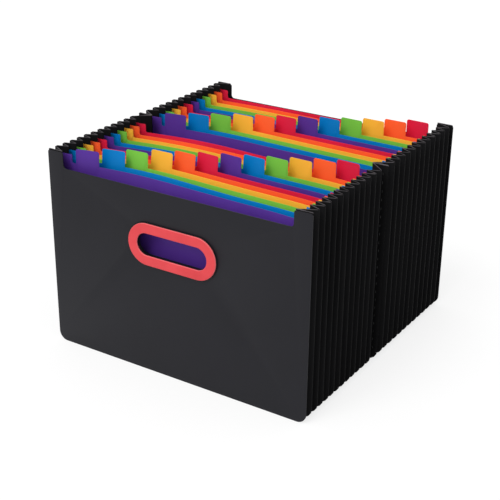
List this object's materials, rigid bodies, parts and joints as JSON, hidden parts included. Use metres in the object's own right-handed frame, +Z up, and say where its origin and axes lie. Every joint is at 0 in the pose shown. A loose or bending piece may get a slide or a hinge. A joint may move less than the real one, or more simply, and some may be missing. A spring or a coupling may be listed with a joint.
{
  "type": "expanding desk file sorter",
  "caption": "Expanding desk file with pleated bellows between stiff covers, rainbow dividers with stepped tabs, and an oval carrying handle.",
  "frame": {"origin": "middle of the base, at the height of the surface it stands on", "axes": "+Z up, the front cover with the handle faces -Y, +X to the right as seen from the front"},
  "size_m": [0.335, 0.336, 0.2365],
  "materials": {
    "cover_plastic": "stiff black polypropylene sheet with a fine satin grain",
    "bellows_plastic": "thin black polypropylene sheet, creased",
    "grommet_plastic": "moulded black plastic, satin",
    "handle_plastic": "moulded coral red plastic, smooth",
    "purple_sheet": "thin purple polypropylene sheet, slightly see-through, satin",
    "blue_sheet": "thin blue polypropylene sheet, slightly see-through, satin",
    "green_sheet": "thin green polypropylene sheet, slightly see-through, satin",
    "yellow_sheet": "thin yellow polypropylene sheet, slightly see-through, satin",
    "orange_sheet": "thin orange polypropylene sheet, slightly see-through, satin",
    "red_sheet": "thin red polypropylene sheet, slightly see-through, satin"
  },
  "bodies": {
    "root": {"front_cover": "cover_plastic", "back_cover": "cover_plastic", "handle_base": "grommet_plastic", "handle_ring": "handle_plastic", "handle_retainer": "grommet_plastic", "front_bellows": "bellows_plastic", "rear_bellows": "bellows_plastic", "front_divider_01": "purple_sheet", "front_divider_02": "blue_sheet", "front_divider_03": "green_sheet", "front_divider_04": "yellow_sheet", "front_divider_05": "orange_sheet", "front_divider_06": "red_sheet", "front_divider_07": "purple_sheet", "front_divider_08": "blue_sheet", "front_divider_09": "green_sheet", "front_divider_10": "yellow_sheet", "front_divider_11": "orange_sheet", "front_divider_12": "red_sheet", "rear_divider_01": "purple_sheet", "rear_divider_02": "blue_sheet", "rear_divider_03": "green_sheet", "rear_divider_04": "yellow_sheet", "rear_divider_05": "orange_sheet", "rear_divider_06": "red_sheet", "rear_divider_07": "purple_sheet", "rear_divider_08": "blue_sheet", "rear_divider_09": "green_sheet", "rear_divider_10": "yellow_sheet", "rear_divider_11": "orange_sheet", "rear_divider_12": "red_sheet"}
  },
  "joints": []
}
